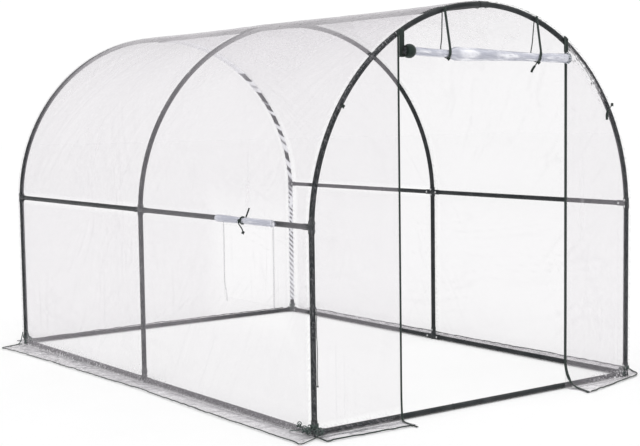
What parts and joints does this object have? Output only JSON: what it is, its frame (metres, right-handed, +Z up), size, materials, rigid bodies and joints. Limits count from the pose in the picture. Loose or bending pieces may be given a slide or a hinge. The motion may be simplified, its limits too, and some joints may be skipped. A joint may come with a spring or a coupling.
{
  "type": "polytunnel greenhouse",
  "caption": "Walk-in garden polytunnel: round-topped steel tube hoops under a clear film cover, with ground skirts, a rolled-up door and a rolled-up side window",
  "frame": {"origin": "middle of the footprint on the ground, under the middle hoop", "axes": "+X across the tunnel to the right of the door, +Y from the door end to the plain end, +Z up"},
  "size_m": [2.3304, 3.3304, 1.8887],
  "materials": {
    "tube": "dark slate-grey painted steel tube, satin",
    "fitting": "dark painted steel sockets and collars",
    "film": "thin clear polyethylene film with soft creases",
    "binding": "very dark green woven binding tape",
    "string": "dark green twisted string"
  },
  "bodies": {
    "root": {"front_left_upright": "tube", "front_right_upright": "tube", "front_crown": "tube", "middle_left_upright": "tube", "middle_right_upright": "tube", "middle_crown": "tube", "rear_left_upright": "tube", "rear_right_upright": "tube", "rear_crown": "tube", "front_base_rail": "tube", "rear_base_rail": "tube", "left_front_base_rail": "tube", "left_rear_base_rail": "tube", "right_front_base_rail": "tube", "right_rear_base_rail": "tube", "left_front_waist_rail": "tube", "left_rear_waist_rail": "tube", "right_front_waist_rail": "tube", "right_rear_waist_rail": "tube", "front_ridge_rail": "tube", "rear_ridge_rail": "tube", "base_fittings": "fitting", "waist_fittings": "fitting", "ridge_fittings": "fitting", "left_wall_film": "film", "right_wall_film": "film", "left_lower_roof_film": "film", "left_upper_roof_film": "film", "right_upper_roof_film": "film", "right_lower_roof_film": "film", "front_left_panel": "film", "front_right_panel": "film", "door_head_panel": "film", "rear_panel": "film", "side_skirts": "film", "end_skirts": "film", "door_roll": "film", "window_roll": "film", "edge_bindings": "binding", "door_ties": "binding", "window_tie": "binding", "right_door_tie_tail": "string", "window_tie_tail": "string", "leg_string": "string"}
  },
  "joints": []
}
